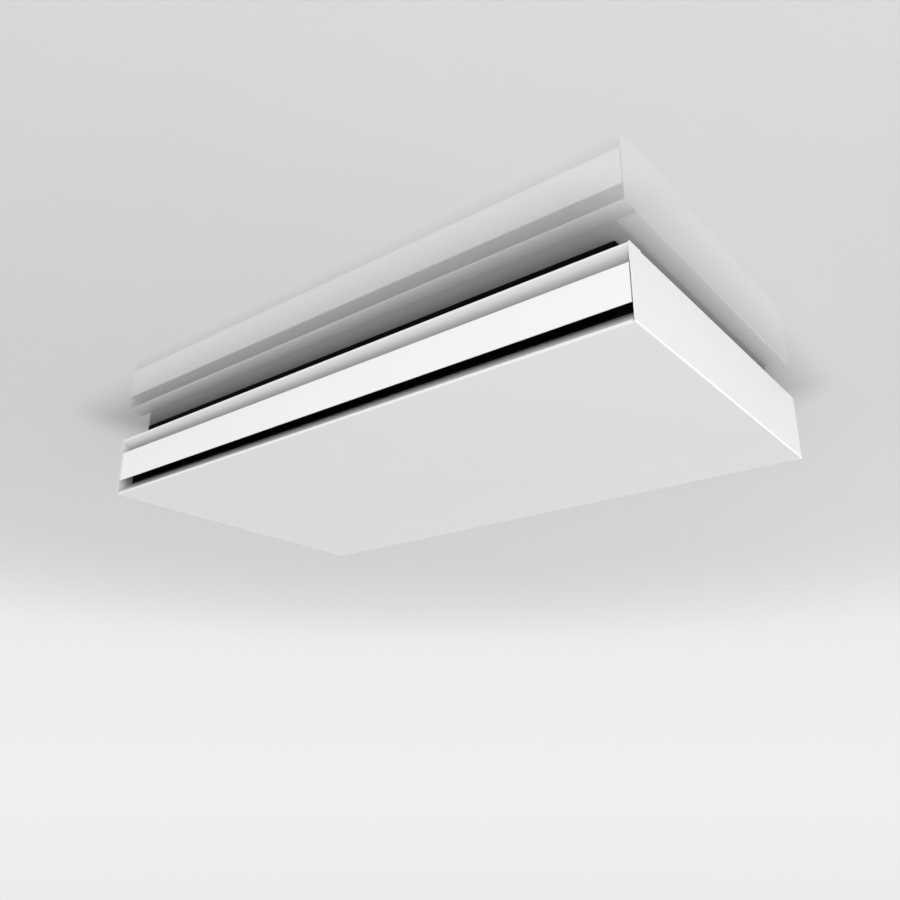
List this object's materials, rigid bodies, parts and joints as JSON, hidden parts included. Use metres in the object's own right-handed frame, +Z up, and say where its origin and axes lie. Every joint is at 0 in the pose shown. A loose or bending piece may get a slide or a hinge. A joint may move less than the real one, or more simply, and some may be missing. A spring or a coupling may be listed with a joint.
{
  "type": "ceiling air diffuser",
  "caption": "Flat white surface-mounted ceiling diffuser on a black plenum, with slanted slot lips, a tilting front vane, and a duct spigot with a damper.",
  "frame": {"origin": "on the ceiling plane, the top face of the ceiling plate, over the middle of the unit and of its four screw slots", "axes": "+Z up into the ceiling, -Y out of the air outlet into the room, X along the casing's length"},
  "size_m": [0.9, 0.5011, 0.178],
  "materials": {
    "white_lacquer": "gloss",
    "vane_lacquer": "gloss",
    "black_paint": "matte",
    "galvanised_steel": "satin",
    "zinc_plated_steel": "satin",
    "spring_steel": "satin",
    "nylon": "satin",
    "epdm_rubber": "matte",
    "black_foam": "matte"
  },
  "bodies": {
    "housing": {"casing_shell": "white_lacquer", "upper_lip_rail": "white_lacquer", "back_panel": "white_lacquer", "ceiling_plate": "black_paint", "plenum_box": "black_paint", "mouth_frame": "black_paint", "equalising_plate": "black_paint", "duct_spigot": "galvanised_steel", "damper_quadrant": "galvanised_steel", "rear_bracket_left": "galvanised_steel", "rear_bracket_right": "galvanised_steel", "back_rivets": "zinc_plated_steel", "bearing_studs": "zinc_plated_steel", "bearing_nuts": "zinc_plated_steel", "plenum_screws": "zinc_plated_steel", "mouth_screws": "zinc_plated_steel", "equaliser_screws": "zinc_plated_steel", "rear_lock_screws": "zinc_plated_steel", "snap_clip_front_left": "spring_steel", "snap_clip_front_right": "spring_steel", "snap_clip_rear_left": "spring_steel", "snap_clip_rear_right": "spring_steel", "vane_bearing_left": "nylon", "vane_bearing_right": "nylon", "damper_bushes": "nylon", "spigot_lip_seal": "epdm_rubber", "anti_drum_pads": "epdm_rubber", "mouth_seal_upper": "black_foam", "mouth_seal_lower": "black_foam", "lining_floor": "black_foam", "lining_back": "black_foam", "lining_left": "black_foam", "lining_right": "black_foam"},
    "vane": {"front_vane": "vane_lacquer", "vane_pivot_pins": "zinc_plated_steel", "vane_friction_washers": "zinc_plated_steel"},
    "damper": {"damper_blade": "galvanised_steel", "damper_axle": "zinc_plated_steel", "damper_blade_screws": "zinc_plated_steel", "damper_axle_clips": "spring_steel", "damper_lever": "zinc_plated_steel", "damper_lock_bolt": "zinc_plated_steel"},
    "wing_nut": {"damper_wing_nut": "zinc_plated_steel"}
  },
  "joints": [
    {"name": "vane_tilt", "type": "hinge", "parent": "housing", "child": "vane", "pos_m": [0, -0.239, -0.07165], "axis": [1, 0, 0], "range_deg": [-20, 20]},
    {"name": "damper_turn", "type": "hinge", "parent": "housing", "child": "damper", "pos_m": [0, 0, -0.034], "axis": [0, 1, 0], "range_deg": [0, 90]},
    {"name": "wing_nut_turn", "type": "hinge", "parent": "damper", "child": "wing_nut", "pos_m": [0, -0.0765, -0.07], "axis": [0, 1, 0], "range_deg": [0, 180]}
  ]
}
